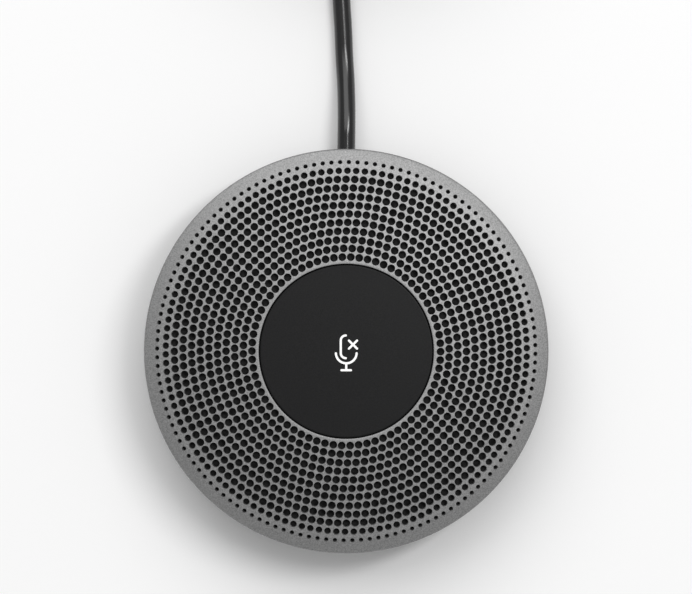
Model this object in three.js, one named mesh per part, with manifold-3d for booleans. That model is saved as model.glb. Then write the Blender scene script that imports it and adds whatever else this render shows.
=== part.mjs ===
// Wired table microphone pod of a conference speakerphone set.
// Millimetres, +Z up. The origin is on the table under the middle of the pod, the lead leaves
// the rear at +Y, and the front is at -Y.

import * as THREE from 'three';
import { mergeVertices } from 'three/addons/utils/BufferGeometryUtils.js';
import Module from 'manifold-3d';

const wasm = await Module();
wasm.setup();

// ---- Driving dimensions ----

const GAP = 0.3;                  // clearance between neighbouring pieces
const ROUND_STEPS = 48;           // sides of a large round piece
const FINE_STEPS = 60;            // sides of the grille and the wound lead
const OVERLAP = 0.5;              // how far a joined solid reaches into the other
const PAST = 1;                   // how far a cutting solid reaches past what it cuts

const POD_RADIUS = 41.5;
const POD_HEIGHT = 21;
const SHEET = 0.9;                // thickness of the grille's metal
const OPENING_RADIUS = 17.9;      // hole in the grille that the button sits in
const DOME_RADIUS = 155;          // curvature of the grille's top
const DOME_CENTRE = 4.5;          // radius at which the dome would be level
const SHOULDER_START = 38;        // where the dome turns down to the side
const SIDE_TOP = 16.3;
const SIDE_BOTTOM = 7.5;

const FLOOR_BOTTOM = 1;           // underside of the base housing
const FLOOR_TOP = 3;
const FLOOR_RADIUS = 35.5;
const BASE_TOP = 7.2;             // parting line under the grille
const BASE_RADIUS = 41.2;
const LIP_TOP = 9.8;
const LIP_OUTER = POD_RADIUS - SHEET - GAP;
const LIP_INNER = 39;

const FOOT_INNER = 24;
const FOOT_OUTER = 29.5;
const FOOT_GROOVE = 1;            // depth that the foot sits in the floor

const CLOTH_DROP = 0.35;          // how far the cloth lies under the grille's metal
const CLOTH_THICKNESS = 0.4;
const PLATE_BOTTOM = 12;          // inner frame's plate
const PLATE_TOP = 13.5;
const SLEEVE_INNER = 18.6;        // sleeve that the button slides in
const SLEEVE_OUTER = 19.6;
const SLEEVE_TOP = 18.9;
const CATCH_RADIUS = 17.9;        // lip of the sleeve that holds the button in
const CATCH_BOTTOM = 18.1;

const BUTTON_RADIUS = OPENING_RADIUS - GAP;
const BUTTON_TOP = 20.7;

const BOARD_RADIUS = 29.2;
const BOARD_BOTTOM = 8;
const BOARD_TOP = 9.6;
const CHIP_BASE = BOARD_TOP + GAP;
const LED_CIRCLE = 7.5;

const BOSS_CIRCLE = 33;           // radius of the four base screws' circle
const BOSS_RADIUS = 3.2;
const BOSS_TOP = 9.3;
const POST_CIRCLE = 22;           // radius of the three board screws' circle
const POST_RADIUS = 2.7;
const POST_TOP = BOARD_BOTTOM - GAP;
const BASE_SCREW = { headRadius: 2.2, headHeight: 1.4, shankRadius: 1.1, length: 9.7, seat: 1.7 };
const BOARD_SCREW = { headRadius: 1.9, headHeight: 1.1, shankRadius: 0.9, length: 6 };
const PILOT_RADIUS = 1.25;        // hole of a board screw

const MIC_CIRCLE = 29;
const MIC_BOOT_RADIUS = 4.1;
const MIC_RADIUS = 3;
const MIC_SEAT = 14;              // bottom of the boot's pocket
const MIC_LEAD_RADIUS = 0.5;

const LEAD_RADIUS = 1.85;
const LEAD_SIDES = 8;
const INNER_LEAD_RADIUS = 0.9;
const LEAD_EXIT_Z = 5.2;
const LEAD_LIE_Z = LEAD_RADIUS + 0.05;
const GROMMET_FACE = 41;          // how far back the grommet's outer face is
const SLOT_BOTTOM = 2.8;          // slot in the housing that the grommet's neck fills
const SLOT_WIDTH = 5.2;

const COIL_CENTRE = new THREE.Vector2(0, 130);
const COIL_INNER = 16.1;          // surfaces of the wound bundle
const COIL_OUTER = 39.9;
const COIL_HEIGHT = 22.2;
const COIL_CHAMFER = 1;

const STRAP_WIDTH = 8;
const STRAP_THICKNESS = 0.9;

const PLUG_RADIUS = 5.75;
const PLUG_START = new THREE.Vector3(48, 139.2, PLUG_RADIUS + 0.05);

const QUARTERS = [0, 90, 180, 270];
const CORNERS = [45, 135, 225, 315];
const THIRDS = [30, 150, 270];

// ---- Materials ----

function finish(color, roughness, metalness = 0) {
  return new THREE.MeshStandardMaterial({ color, roughness, metalness });
}

const PAINTED_METAL = finish(0x9b9b9b, 0.45, 0.6);
const SOFT_TOUCH = finish(0x2a2a2b, 0.8);
const BLACK_ABS = finish(0x1d1d1e, 0.6);
const BLACK_CLOTH = finish(0x181818, 0.95);
const BLACK_RUBBER = finish(0x202020, 0.9);
const STEEL = finish(0xb4b6b8, 0.35, 1);
const BOARD_GREEN = finish(0x1d4a33, 0.5);
const CHIP_BLACK = finish(0x17171a, 0.5);
const CLEAR_ACRYLIC = finish(0xe9eceb, 0.2);
const LED_WHITE = finish(0xf2f0dc, 0.3);
const LEAD_PVC = finish(0x1f1f20, 0.45);
const CONTACT_GOLD = finish(0xd0a94e, 0.3, 1);
const HEADER_IVORY = finish(0xe4dfcd, 0.5);

// ---- Building blocks ----

// Solid of revolution about Z from a closed outline of [radius, height] points, listed so
// that the material lies to their left.
function turned(outline, sides = ROUND_STEPS) {
  const onAxis = outline[0][0] === 0 && outline[outline.length - 1][0] === 0;
  const closed = onAxis ? outline : [...outline, outline[0]];
  const points = closed.map(([radius, height]) => new THREE.Vector2(radius, height));
  return new THREE.LatheGeometry(points, sides).rotateX(Math.PI / 2);
}

function rod(radius, bottom, top, sides = 16) {
  const geometry = new THREE.CylinderGeometry(radius, radius, top - bottom, sides);
  return geometry.rotateX(Math.PI / 2).translate(0, 0, (bottom + top) / 2);
}

// Box from its middle in plan, its plan size and its lowest and highest level.
function block(x, y, width, depth, bottom, top) {
  const geometry = new THREE.BoxGeometry(width, depth, top - bottom);
  return geometry.translate(x, y, (bottom + top) / 2);
}

function tube(route, radius, steps) {
  const corners = Array.from({ length: LEAD_SIDES }, (_, i) => {
    const turn = ((i + 0.5) / LEAD_SIDES) * 2 * Math.PI;
    return new THREE.Vector2(radius * Math.cos(turn), radius * Math.sin(turn));
  });
  const extrudePath = new THREE.CatmullRomCurve3(route.map((point) => new THREE.Vector3(...point)));
  return new THREE.ExtrudeGeometry(new THREE.Shape(corners), { steps, extrudePath });
}

function solid(geometry) {
  const bare = geometry.clone();
  bare.deleteAttribute('normal');
  bare.deleteAttribute('uv');
  const merged = mergeVertices(bare, 1e-4);
  return new wasm.Manifold(new wasm.Mesh({
    numProp: 3,
    vertProperties: new Float32Array(merged.attributes.position.array),
    triVerts: new Uint32Array(merged.index.array),
  }));
}

function surface(manifold) {
  const mesh = manifold.getMesh();
  const geometry = new THREE.BufferGeometry();
  geometry.setAttribute('position', new THREE.BufferAttribute(mesh.vertProperties, 3));
  geometry.setIndex(new THREE.BufferAttribute(mesh.triVerts, 1));
  return geometry;
}

function joined(start, additions) {
  return additions.reduce((body, piece) => body.add(solid(piece)), start);
}

function cut(start, tools) {
  return tools.reduce((body, tool) => body.subtract(solid(tool)), start);
}

// Copies of a shape at the given angles on a circle about Z.
function around(angles, circle, makeShape) {
  return angles.map((degrees) => {
    const { x, y } = polar(circle, degrees);
    return makeShape().translate(x, y, 0);
  });
}

function polar(radius, degrees) {
  const turn = THREE.MathUtils.degToRad(degrees);
  return { x: radius * Math.cos(turn), y: radius * Math.sin(turn) };
}

const model = new THREE.Group();

function add(name, geometry, material, parent = model) {
  const mesh = new THREE.Mesh(geometry, material);
  mesh.name = name;
  parent.add(mesh);
  return mesh;
}

// Height of the grille's outer surface over the dome.
function domeHeight(radius) {
  const fall = (at) => Math.sqrt(DOME_RADIUS ** 2 - (at - DOME_CENTRE) ** 2);
  return POD_HEIGHT + fall(radius) - fall(OPENING_RADIUS);
}

// ---- Grille and what lies behind it ----

function grilleShell() {
  const inner = POD_RADIUS - SHEET;
  const lipBottom = 20.1;
  const lipRounding = 0.4;
  const shoulder = [[39.6, 17.44], [41.05, 16.85], [41.35, 16.65], [POD_RADIUS, SIDE_TOP]];
  const underShoulder = [[inner, 15.9], [39.6, 16.45]];
  const domeRings = [34, 30, 26, 22];
  return turned([
    [inner, SIDE_BOTTOM],
    [POD_RADIUS, SIDE_BOTTOM],
    ...shoulder.toReversed(),
    [SHOULDER_START, domeHeight(SHOULDER_START)],
    ...domeRings.map((radius) => [radius, domeHeight(radius)]),
    [OPENING_RADIUS + lipRounding, POD_HEIGHT],
    [OPENING_RADIUS, POD_HEIGHT - lipRounding],
    [OPENING_RADIUS, lipBottom],
    [OPENING_RADIUS + SHEET, lipBottom],
    ...domeRings.toReversed().map((radius) => [radius, domeHeight(radius) - SHEET]),
    [SHOULDER_START, domeHeight(SHOULDER_START) - SHEET],
    ...underShoulder.toReversed(),
  ], FINE_STEPS);
}

function acousticCloth() {
  const rings = [18.2, 25, 32, 39];
  const top = (radius) => domeHeight(radius) - SHEET - CLOTH_DROP;
  return turned([
    ...rings.map((radius) => [radius, top(radius) - CLOTH_THICKNESS]),
    ...rings.toReversed().map((radius) => [radius, top(radius)]),
  ]);
}

function innerFrame() {
  const skirtInner = 38.9;
  const skirtTop = 15.5;
  const skirtBottom = LIP_TOP + GAP;
  const postRadius = 3;
  const screwHoleRadius = 1.4;
  const body = solid(turned([
    [SLEEVE_INNER, PLATE_BOTTOM],
    [skirtInner, PLATE_BOTTOM],
    [skirtInner, skirtBottom],
    [LIP_OUTER, skirtBottom],
    [LIP_OUTER, skirtTop],
    [skirtInner, skirtTop],
    [skirtInner, PLATE_TOP],
    [SLEEVE_OUTER, PLATE_TOP],
    [SLEEVE_OUTER, SLEEVE_TOP],
    [CATCH_RADIUS, SLEEVE_TOP],
    [CATCH_RADIUS, CATCH_BOTTOM],
    [SLEEVE_INNER, CATCH_BOTTOM],
  ]));
  const posts = around(CORNERS, BOSS_CIRCLE, () => (
    rod(postRadius, BOSS_TOP + GAP, PLATE_TOP - OVERLAP, 12)));
  const screwHoles = around(CORNERS, BOSS_CIRCLE, () => (
    rod(screwHoleRadius, BOSS_TOP, PLATE_BOTTOM - GAP, 10)));
  const micHoles = around(QUARTERS, MIC_CIRCLE, () => (
    rod(MIC_BOOT_RADIUS + GAP, PLATE_BOTTOM - PAST, PLATE_TOP + PAST, 20)));
  return surface(cut(joined(body, posts), [...screwHoles, ...micHoles]));
}

// ---- Button ----

function buttonCap() {
  const inside = BUTTON_RADIUS - 1.3;
  const flangeRadius = SLEEVE_INNER - GAP;
  const flangeBottom = 17;
  const flangeTop = CATCH_BOTTOM - GAP;
  const ceiling = BUTTON_TOP - 1.6;
  const stemRadius = 2.5;
  const stemBottom = 14.9;
  const roundedEdge = [
    [BUTTON_RADIUS, BUTTON_TOP - 0.6], [BUTTON_RADIUS - 0.1, BUTTON_TOP - 0.25],
    [BUTTON_RADIUS - 0.4, BUTTON_TOP - 0.1],
  ];
  return turned([
    [0, stemBottom],
    [stemRadius, stemBottom],
    [stemRadius, ceiling],
    [inside, ceiling],
    [inside, flangeBottom],
    [flangeRadius, flangeBottom],
    [flangeRadius, flangeTop],
    [BUTTON_RADIUS, flangeTop],
    ...roundedEdge,
    [0, BUTTON_TOP],
  ]);
}

function lightGuide() {
  const [inner, outer] = [2.8, 15.8];
  const [bottom, top] = [17.7, 18.8];
  return turned([[inner, bottom], [outer, bottom], [outer, top], [inner, top]], 36);
}

function switchBody() {
  const side = 6.2;
  const top = 13.2;
  const bore = rod(2, 11.6, top + PAST);
  return surface(cut(solid(block(0, 0, side, side, CHIP_BASE, top)), [bore]));
}

function switchPlunger() {
  return rod(1.7, 12.6, 14.6);
}

// ---- Base ----

function baseHousing() {
  const flare = [15, 30, 45, 60, 75, 90].map((degrees) => {
    const turn = THREE.MathUtils.degToRad(degrees);
    return [
      FLOOR_RADIUS + (BASE_RADIUS - FLOOR_RADIUS) * Math.sin(turn),
      BASE_TOP - (BASE_TOP - FLOOR_BOTTOM) * Math.cos(turn),
    ];
  });
  const insideOfFlare = [[LIP_INNER, 6.2], [38, 4.4], [36.4, 3.3], [34.8, FLOOR_TOP]];
  const shell = solid(turned([
    [0, FLOOR_BOTTOM],
    [FLOOR_RADIUS, FLOOR_BOTTOM],
    ...flare,
    [LIP_OUTER, BASE_TOP],
    [LIP_OUTER, LIP_TOP],
    [LIP_INNER, LIP_TOP],
    ...insideOfFlare,
    [0, FLOOR_TOP],
  ]));
  const pillarFoot = FLOOR_TOP - OVERLAP;
  const pillars = [
    ...around(CORNERS, BOSS_CIRCLE, () => rod(BOSS_RADIUS, pillarFoot, BOSS_TOP, 14)),
    ...around(THIRDS, POST_CIRCLE, () => rod(POST_RADIUS, pillarFoot, POST_TOP, 12)),
  ];
  const under = FLOOR_BOTTOM - PAST;
  const grooveTop = FLOOR_BOTTOM + FOOT_GROOVE;
  const footGroove = turned([
    [FOOT_INNER - GAP, under],
    [FOOT_OUTER + GAP, under],
    [FOOT_OUTER + GAP, grooveTop],
    [FOOT_INNER - GAP, grooveTop],
  ]);
  const headRecess = { radius: 2.6, top: 3.4 };
  const shankHoleRadius = 1.45;
  const pilotBottom = 4.2;
  const grommetSlot = block(0, 39.5, SLOT_WIDTH, 5, SLOT_BOTTOM, LIP_TOP + PAST);
  const grommetSeat = block(0, 42.2, 7, 4.6, SLOT_BOTTOM - 0.4, BASE_TOP + 0.01);
  const cuts = [
    footGroove,
    ...around(CORNERS, BOSS_CIRCLE, () => rod(headRecess.radius, under, headRecess.top, 14)),
    ...around(CORNERS, BOSS_CIRCLE, () => rod(shankHoleRadius, FLOOR_TOP, BOSS_TOP + PAST, 10)),
    ...around(THIRDS, POST_CIRCLE, () => rod(PILOT_RADIUS, pilotBottom, POST_TOP + PAST, 10)),
    grommetSlot,
    grommetSeat,
  ];
  return surface(cut(joined(shell, pillars), cuts));
}

function footRing() {
  const top = FLOOR_BOTTOM + FOOT_GROOVE - GAP;
  const chamfer = 0.4;
  return turned([
    [FOOT_INNER + chamfer, 0],
    [FOOT_OUTER - chamfer, 0],
    [FOOT_OUTER, chamfer],
    [FOOT_OUTER, top],
    [FOOT_INNER, top],
    [FOOT_INNER, chamfer],
  ]);
}

function ballastPlate() {
  const bottom = FLOOR_TOP + GAP;
  const top = bottom + 3;
  const holeRadius = POST_RADIUS + 0.4;
  const holes = around(THIRDS, POST_CIRCLE, () => rod(holeRadius, bottom - PAST, top + PAST, 12));
  return surface(cut(solid(rod(BOARD_RADIUS, bottom, top, ROUND_STEPS)), holes));
}

function mainBoard() {
  const disc = solid(rod(BOARD_RADIUS, BOARD_BOTTOM, BOARD_TOP, ROUND_STEPS));
  const holes = around(THIRDS, POST_CIRCLE, () => (
    rod(PILOT_RADIUS, BOARD_BOTTOM - PAST, BOARD_TOP + PAST, 10)));
  return surface(cut(disc, holes));
}

// Pan-head screw pointing up: head at the bottom.
function screw({ headRadius, headHeight, shankRadius, length }) {
  return turned([
    [0, 0],
    [headRadius * 0.8, 0],
    [headRadius, headHeight / 2],
    [headRadius, headHeight],
    [shankRadius, headHeight],
    [shankRadius, length - shankRadius],
    [0, length],
  ], 12);
}

// Grommet of the lead: an outer flange, a neck in the housing's slot and an inner flange.
function leadGrommet() {
  const top = LIP_TOP - GAP;
  const flangeStart = 40.2;
  const flangeDepth = GROMMET_FACE - flangeStart;
  const outerFlange = block(0, flangeStart + flangeDepth / 2, 6.4, flangeDepth, 2.7, 6.9);
  const neck = block(0, 38.85, SLOT_WIDTH - 2 * GAP, 2.9, SLOT_BOTTOM + GAP, top);
  const innerFlange = block(0, 37.2, 6.6, 0.8, 4.7, top);
  return surface(joined(solid(neck), [outerFlange, innerFlange]));
}

// ---- Microphones ----

function microphoneBoot() {
  const bottom = PLATE_BOTTOM + GAP;
  const top = 16.9;
  return turned([
    [0, bottom],
    [MIC_BOOT_RADIUS, bottom],
    [MIC_BOOT_RADIUS, top],
    [MIC_RADIUS + GAP, top],
    [MIC_RADIUS + GAP, MIC_SEAT],
    [0, MIC_SEAT],
  ], 20);
}

function microphoneCapsule() {
  return rod(MIC_RADIUS, MIC_SEAT + GAP, 16.7, 20);
}

// Runs from under the boot, at the mesh's origin, inwards to the board.
function microphoneLead() {
  return tube([[0, 0, 11.9], [-0.4, 0, 11.2], [-1.6, 0, 10.7], [-2.2, 0, 10]], MIC_LEAD_RADIUS, 5);
}

// ---- Lead ----

// From the grommet straight back, down to the table and in to the coil's outermost turn.
const LEAD_IN_ROUTE = [
  [0, GROMMET_FACE + GAP, LEAD_EXIT_Z],
  [0.05, 46, LEAD_EXIT_Z - 0.15],
  [0.05, 51, 4.1],
  [-0.1, 56, 2.7],
  [-0.4, 61, 2],
  [-0.6, 66, LEAD_LIE_Z],
  [-0.9, 71, LEAD_LIE_Z],
  [-1.3, 76, LEAD_LIE_Z],
  [-2.6, 81, LEAD_LIE_Z],
  [-4.8, 85.3, LEAD_LIE_Z],
  [-6.1, 87.2, LEAD_LIE_Z],
];

// From the coil's top layer round its far side and down to the plug.
const LEAD_TAIL_ROUTE = [
  [10.6, 170.3, 20.4],
  [15.6, 170.9, 20.2],
  [21.5, 170.6, 19.3],
  [27.5, 168.8, 17.4],
  [33.2, 165.6, 15.1],
  [38.2, 161.3, 12.6],
  [42.3, 156.1, 10.2],
  [45.4, 150.2, 8.1],
  [47.2, 144.8, 6.5],
  [48, 139.5, PLUG_START.z],
];

function leadCoil() {
  const ring = solid(turned([
    [COIL_INNER + COIL_CHAMFER, 0],
    [COIL_OUTER - COIL_CHAMFER, 0],
    [COIL_OUTER, COIL_CHAMFER],
    [COIL_OUTER, COIL_HEIGHT - COIL_CHAMFER],
    [COIL_OUTER - COIL_CHAMFER, COIL_HEIGHT],
    [COIL_INNER + COIL_CHAMFER, COIL_HEIGHT],
    [COIL_INNER, COIL_HEIGHT - COIL_CHAMFER],
    [COIL_INNER, COIL_CHAMFER],
  ], FINE_STEPS));
  const middle = -(COIL_INNER + COIL_OUTER) / 2;
  const width = COIL_OUTER - COIL_INNER + 4 * PAST;
  const strapBed = block(middle, 0, width, STRAP_WIDTH + 2 * GAP, -PAST, STRAP_THICKNESS + GAP);
  return surface(cut(ring, [strapBed]));
}

// Flat loop round the wound bundle, on the coil's -X side.
function coilStrap() {
  const innerEdge = -COIL_INNER + 1.6;
  const outerEdge = -COIL_OUTER - GAP - STRAP_THICKNESS;
  const middle = (innerEdge + outerEdge) / 2;
  const width = innerEdge - outerEdge;
  const top = COIL_HEIGHT + GAP + STRAP_THICKNESS;
  const outer = block(middle, 0, width, STRAP_WIDTH, 0, top);
  const hollow = block(
    middle, 0, width - 2 * STRAP_THICKNESS, STRAP_WIDTH + 2 * PAST, STRAP_THICKNESS, top - STRAP_THICKNESS);
  return surface(cut(solid(outer), [hollow]));
}

// ---- Plug, built along +Z from the end where the lead enters ----

const RELIEF_LENGTH = 14;
const GRIP_LENGTH = 19;
const SHELL_LENGTH = 8.5;
const GRIP_START = RELIEF_LENGTH + GAP;
const SHELL_START = GRIP_START + GRIP_LENGTH + GAP;
const SHELL_INNER = 4.2;
const INSERT_END = SHELL_START + 3.4;

function plugRelief() {
  const [entryRadius, gripRadius] = [2.6, 3.9];
  return turned([[0, 0], [entryRadius, 0], [gripRadius, RELIEF_LENGTH], [0, RELIEF_LENGTH]], 16);
}

function plugGrip() {
  const end = GRIP_START + GRIP_LENGTH;
  const neckRadius = 4.4;
  const neckLength = 2.5;
  const edge = 0.7;
  return turned([
    [0, GRIP_START],
    [neckRadius, GRIP_START],
    [PLUG_RADIUS, GRIP_START + neckLength],
    [PLUG_RADIUS, end - edge],
    [PLUG_RADIUS - edge, end],
    [0, end],
  ], 24);
}

function plugShell() {
  const end = SHELL_START + SHELL_LENGTH;
  const [inner, outer] = [SHELL_INNER, SHELL_INNER + 0.4];
  return turned([[inner, SHELL_START], [outer, SHELL_START], [outer, end], [inner, end]], 24);
}

function plugInsert() {
  return rod(SHELL_INNER - 0.35, SHELL_START + 0.1, INSERT_END, 20);
}

function plugContacts() {
  const foot = INSERT_END + GAP;
  const pinAngles = [20, 65, 110, 160, 200, 250, 295, 340];
  const pins = around(pinAngles, 2.2, () => rod(0.35, foot, foot + 3.8, 6));
  return surface(joined(solid(rod(2.8, foot, foot + 0.5, 16)), pins));
}

// ---- Assembly ----

function addHousing() {
  add('grille_shell', grilleShell(), PAINTED_METAL);
  add('acoustic_cloth', acousticCloth(), BLACK_CLOTH);
  add('inner_frame', innerFrame(), BLACK_ABS);
  add('base_housing', baseHousing(), BLACK_ABS);
  add('foot_ring', footRing(), BLACK_RUBBER);
  add('ballast_plate', ballastPlate(), STEEL);
  CORNERS.forEach((degrees, i) => {
    const piece = add(`base_screw_${i + 1}`, screw(BASE_SCREW), STEEL);
    const { x, y } = polar(BOSS_CIRCLE, degrees);
    piece.position.set(x, y, BASE_SCREW.seat);
  });
}

function addButton() {
  add('button_cap', buttonCap(), SOFT_TOUCH);
  add('light_guide', lightGuide(), CLEAR_ACRYLIC);
  add('switch_plunger', switchPlunger(), CHIP_BLACK);
}

function addBoard() {
  add('main_board', mainBoard(), BOARD_GREEN);
  add('mute_switch', switchBody(), CHIP_BLACK);
  const chips = [
    { name: 'processor_chip', x: -13.5, y: 1, width: 10, depth: 10, height: 1, look: CHIP_BLACK },
    { name: 'codec_chip', x: 12.5, y: -7, width: 6, depth: 6, height: 0.9, look: CHIP_BLACK },
    { name: 'power_inductor', x: -8, y: -12.5, width: 5, depth: 5, height: 2.4, look: CHIP_BLACK },
    { name: 'board_header', x: 0, y: 12.5, width: 8, depth: 5, height: 3.6, look: HEADER_IVORY },
    ...CORNERS.map((degrees, i) => ({
      name: `led_${i + 1}`, ...polar(LED_CIRCLE, degrees), width: 2.8, depth: 1.6, height: 1.1, look: LED_WHITE,
    })),
  ];
  for (const { name, x, y, width, depth, height, look } of chips) {
    add(name, block(x, y, width, depth, CHIP_BASE, CHIP_BASE + height), look);
  }
  THIRDS.forEach((degrees, i) => {
    const piece = add(`board_screw_${i + 1}`, screw(BOARD_SCREW), STEEL);
    const { x, y } = polar(POST_CIRCLE, degrees);
    piece.position.set(x, y, CHIP_BASE + BOARD_SCREW.headHeight);
    piece.rotation.x = Math.PI;
  });
}

function addMicrophones() {
  const sides = ['right', 'rear', 'left', 'front'];
  QUARTERS.forEach((degrees, i) => {
    const { x, y } = polar(MIC_CIRCLE, degrees);
    const station = new THREE.Group();
    station.position.set(x, y, 0);
    station.rotation.z = THREE.MathUtils.degToRad(degrees);
    model.add(station);
    add(`microphone_boot_${sides[i]}`, microphoneBoot(), BLACK_RUBBER, station);
    add(`microphone_${sides[i]}`, microphoneCapsule(), STEEL, station);
    add(`microphone_lead_${sides[i]}`, microphoneLead(), LEAD_PVC, station);
  });
}

function addLead() {
  const innerRoute = [
    [0, 36.4, 6.4], [0.4, 35.2, 6.4], [1.8, 34, 6.7], [3.6, 32.9, 7.4], [4.5, 31.5, 9],
    [4.4, 29.4, 10.6], [4, 26, 10.7], [3.2, 21, 10.7], [1.8, 17.6, 11.1], [1.6, 15.3, 11.5],
  ];
  add('lead_grommet', leadGrommet(), BLACK_RUBBER);
  add('inner_lead', tube(innerRoute, INNER_LEAD_RADIUS, 12), LEAD_PVC);
  add('lead_in', tube(LEAD_IN_ROUTE, LEAD_RADIUS, 12), LEAD_PVC);
  add('lead_tail', tube(LEAD_TAIL_ROUTE, LEAD_RADIUS, 12), LEAD_PVC);
  const wound = new THREE.Group();
  wound.position.set(COIL_CENTRE.x, COIL_CENTRE.y, 0);
  model.add(wound);
  add('lead_coil', leadCoil(), LEAD_PVC, wound);
  add('coil_strap', coilStrap(), BLACK_CLOTH, wound);
}

function addPlug() {
  const plug = new THREE.Group();
  plug.position.copy(PLUG_START);
  plug.rotation.x = Math.PI / 2;
  model.add(plug);
  add('plug_relief', plugRelief(), LEAD_PVC, plug);
  add('plug_grip', plugGrip(), LEAD_PVC, plug);
  add('plug_shell', plugShell(), STEEL, plug);
  add('plug_insert', plugInsert(), BLACK_ABS, plug);
  add('plug_contacts', plugContacts(), CONTACT_GOLD, plug);
}

addHousing();
addButton();
addBoard();
addMicrophones();
addLead();
addPlug();

export default model;
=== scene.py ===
"""Wired table microphone pod of a conference speakerphone set.

Metres, +Z up. The pod stands on the origin, its lead leaves the rear at +Y and lies coiled behind it.
Lengths written in millimetres are multiplied by MM where they become places.
"""
import math

import bmesh
import bpy
from mathutils import Matrix, Vector


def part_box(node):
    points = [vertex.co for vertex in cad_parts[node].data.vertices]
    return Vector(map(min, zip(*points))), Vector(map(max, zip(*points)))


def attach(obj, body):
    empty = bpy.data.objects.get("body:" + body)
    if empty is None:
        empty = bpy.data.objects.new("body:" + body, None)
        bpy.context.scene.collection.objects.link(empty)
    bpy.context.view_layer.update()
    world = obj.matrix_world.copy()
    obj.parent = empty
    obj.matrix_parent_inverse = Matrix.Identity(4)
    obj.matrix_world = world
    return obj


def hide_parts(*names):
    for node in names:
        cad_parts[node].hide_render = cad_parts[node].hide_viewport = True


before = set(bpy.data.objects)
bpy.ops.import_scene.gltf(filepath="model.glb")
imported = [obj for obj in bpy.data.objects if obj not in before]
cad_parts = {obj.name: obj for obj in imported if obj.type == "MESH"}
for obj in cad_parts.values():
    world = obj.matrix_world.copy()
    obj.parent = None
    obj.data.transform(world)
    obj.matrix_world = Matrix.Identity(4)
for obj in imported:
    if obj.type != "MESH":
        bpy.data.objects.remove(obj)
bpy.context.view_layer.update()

MM = 0.001


def box_mm(cad_node):
    """Lowest and highest corner of a CAD node, in millimetres."""
    low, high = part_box(cad_node)
    return low / MM, high / MM


# ---- Sizes that the frame gives ----

SHELL_LOW, SHELL_HIGH = box_mm("grille_shell")
POD_RADIUS = SHELL_HIGH.x
POD_TOP = SHELL_HIGH.z
SIDE_BOTTOM = SHELL_LOW.z
BASE_LOW, BASE_HIGH = box_mm("base_housing")
FOOT_HIGH = box_mm("foot_ring")[1]
CAP_LOW, CAP_HIGH = box_mm("button_cap")
GROMMET_LOW, GROMMET_HIGH = box_mm("lead_grommet")
COIL_LOW, COIL_HIGH = box_mm("lead_coil")
STRAP_LOW, STRAP_HIGH = box_mm("coil_strap")

# ---- Sizes of the pod's finer shape, in millimetres ----

SHEET = 0.9               # metal of the grille
OPENING_RADIUS = 17.9     # the button's opening in the grille
DOME_RADIUS = 155.0
DOME_CENTRE = 4.5         # radius at which the dome would be level
SHOULDER_START = 38.0     # the dome turns down more steeply from here
ROUND_STEPS = 144         # sides of a large turned piece

LEDGE = 7.2               # top of the housing's outside, just under the grille's side wall
FLOOR_TOP = 3.0           # inside face of the housing's floor
OVERLAP = 0.5             # how far a joined solid reaches into the other
BOSS_CIRCLE = 33.0        # radius of the circle of the four base screws
POST_CIRCLE = 22.0        # radius of the circle of the three board screws
CORNERS = (45, 135, 225, 315)
THIRDS = (30, 150, 270)

LEAD_RADIUS = 1.85
LEAD_EXIT = (0.0, 41.0, 5.2)

RELIEF_LENGTH = 14.0      # the plug's pieces follow one another from the lead's end
GRIP_LENGTH = 19.0
SLEEVE_LENGTH = 8.5
PLUG_GAP = 0.3            # between one piece of the plug and the next


# ---- Mesh building ----

def new_object(name, mesh):
    made = bpy.data.objects.new(name, mesh)
    bpy.context.scene.collection.objects.link(made)
    return made


def object_from(name, bm):
    bmesh.ops.remove_doubles(bm, verts=bm.verts, dist=1e-6)
    bmesh.ops.recalc_face_normals(bm, faces=bm.faces)
    mesh = bpy.data.meshes.new(name)
    bm.to_mesh(mesh)
    bm.free()
    return new_object(name, mesh)


def turned(name, outline, steps=ROUND_STEPS):
    """Closed solid of revolution about Z from a closed outline of (radius, height) in millimetres."""
    bm = bmesh.new()
    rings = []
    for radius, height in outline:
        if radius == 0:
            rings.append([bm.verts.new((0, 0, height * MM))])
            continue
        turns = (2 * math.pi * i / steps for i in range(steps))
        places = ((radius * MM * math.cos(t), radius * MM * math.sin(t), height * MM) for t in turns)
        rings.append([bm.verts.new(place) for place in places])
    for ring, following in zip(rings, rings[1:] + rings[:1]):
        if len(ring) == 1 and len(following) == 1:
            continue
        for i in range(steps):
            j = (i + 1) % steps
            corners = [ring[i % len(ring)], ring[j % len(ring)],
                       following[j % len(following)], following[i % len(following)]]
            bm.faces.new(dict.fromkeys(corners))
    return object_from(name, bm)


def arc(centre, radius, start, end, steps):
    """Points of a circular arc in the plane, with angles in degrees."""
    turns = (math.radians(start + (end - start) * i / steps) for i in range(steps + 1))
    return [(centre[0] + radius * math.cos(t), centre[1] + radius * math.sin(t)) for t in turns]


def block(name, low, high, rounding=0.0, segments=3):
    """Box between two corners in millimetres, with its edges rounded."""
    bm = bmesh.new()
    low, high = Vector(low) * MM, Vector(high) * MM
    place = Matrix.Translation((low + high) / 2) @ Matrix.Diagonal((*(high - low), 1))
    bmesh.ops.create_cube(bm, size=1, matrix=place)
    if rounding:
        bmesh.ops.bevel(
            bm, geom=bm.edges, offset=rounding * MM, segments=segments, profile=0.5, affect="EDGES")
    return object_from(name, bm)


def rod(name, centre, radius, bottom, top, steps):
    """Upright cylinder at a centre of (x, y), in millimetres."""
    made = turned(name, [(0, bottom), (radius, bottom), (radius, top), (0, top)], steps)
    made.data.transform(Matrix.Translation((centre[0] * MM, centre[1] * MM, 0)))
    return made


def joined(name, parts):
    """One object from several, whose meshes are kept as they are."""
    bm = bmesh.new()
    for part in parts:
        bm.from_mesh(part.data)
    mesh = bpy.data.meshes.new(name)
    bm.to_mesh(mesh)
    bm.free()
    for part in parts:
        bpy.data.objects.remove(part)
    return new_object(name, mesh)


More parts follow.
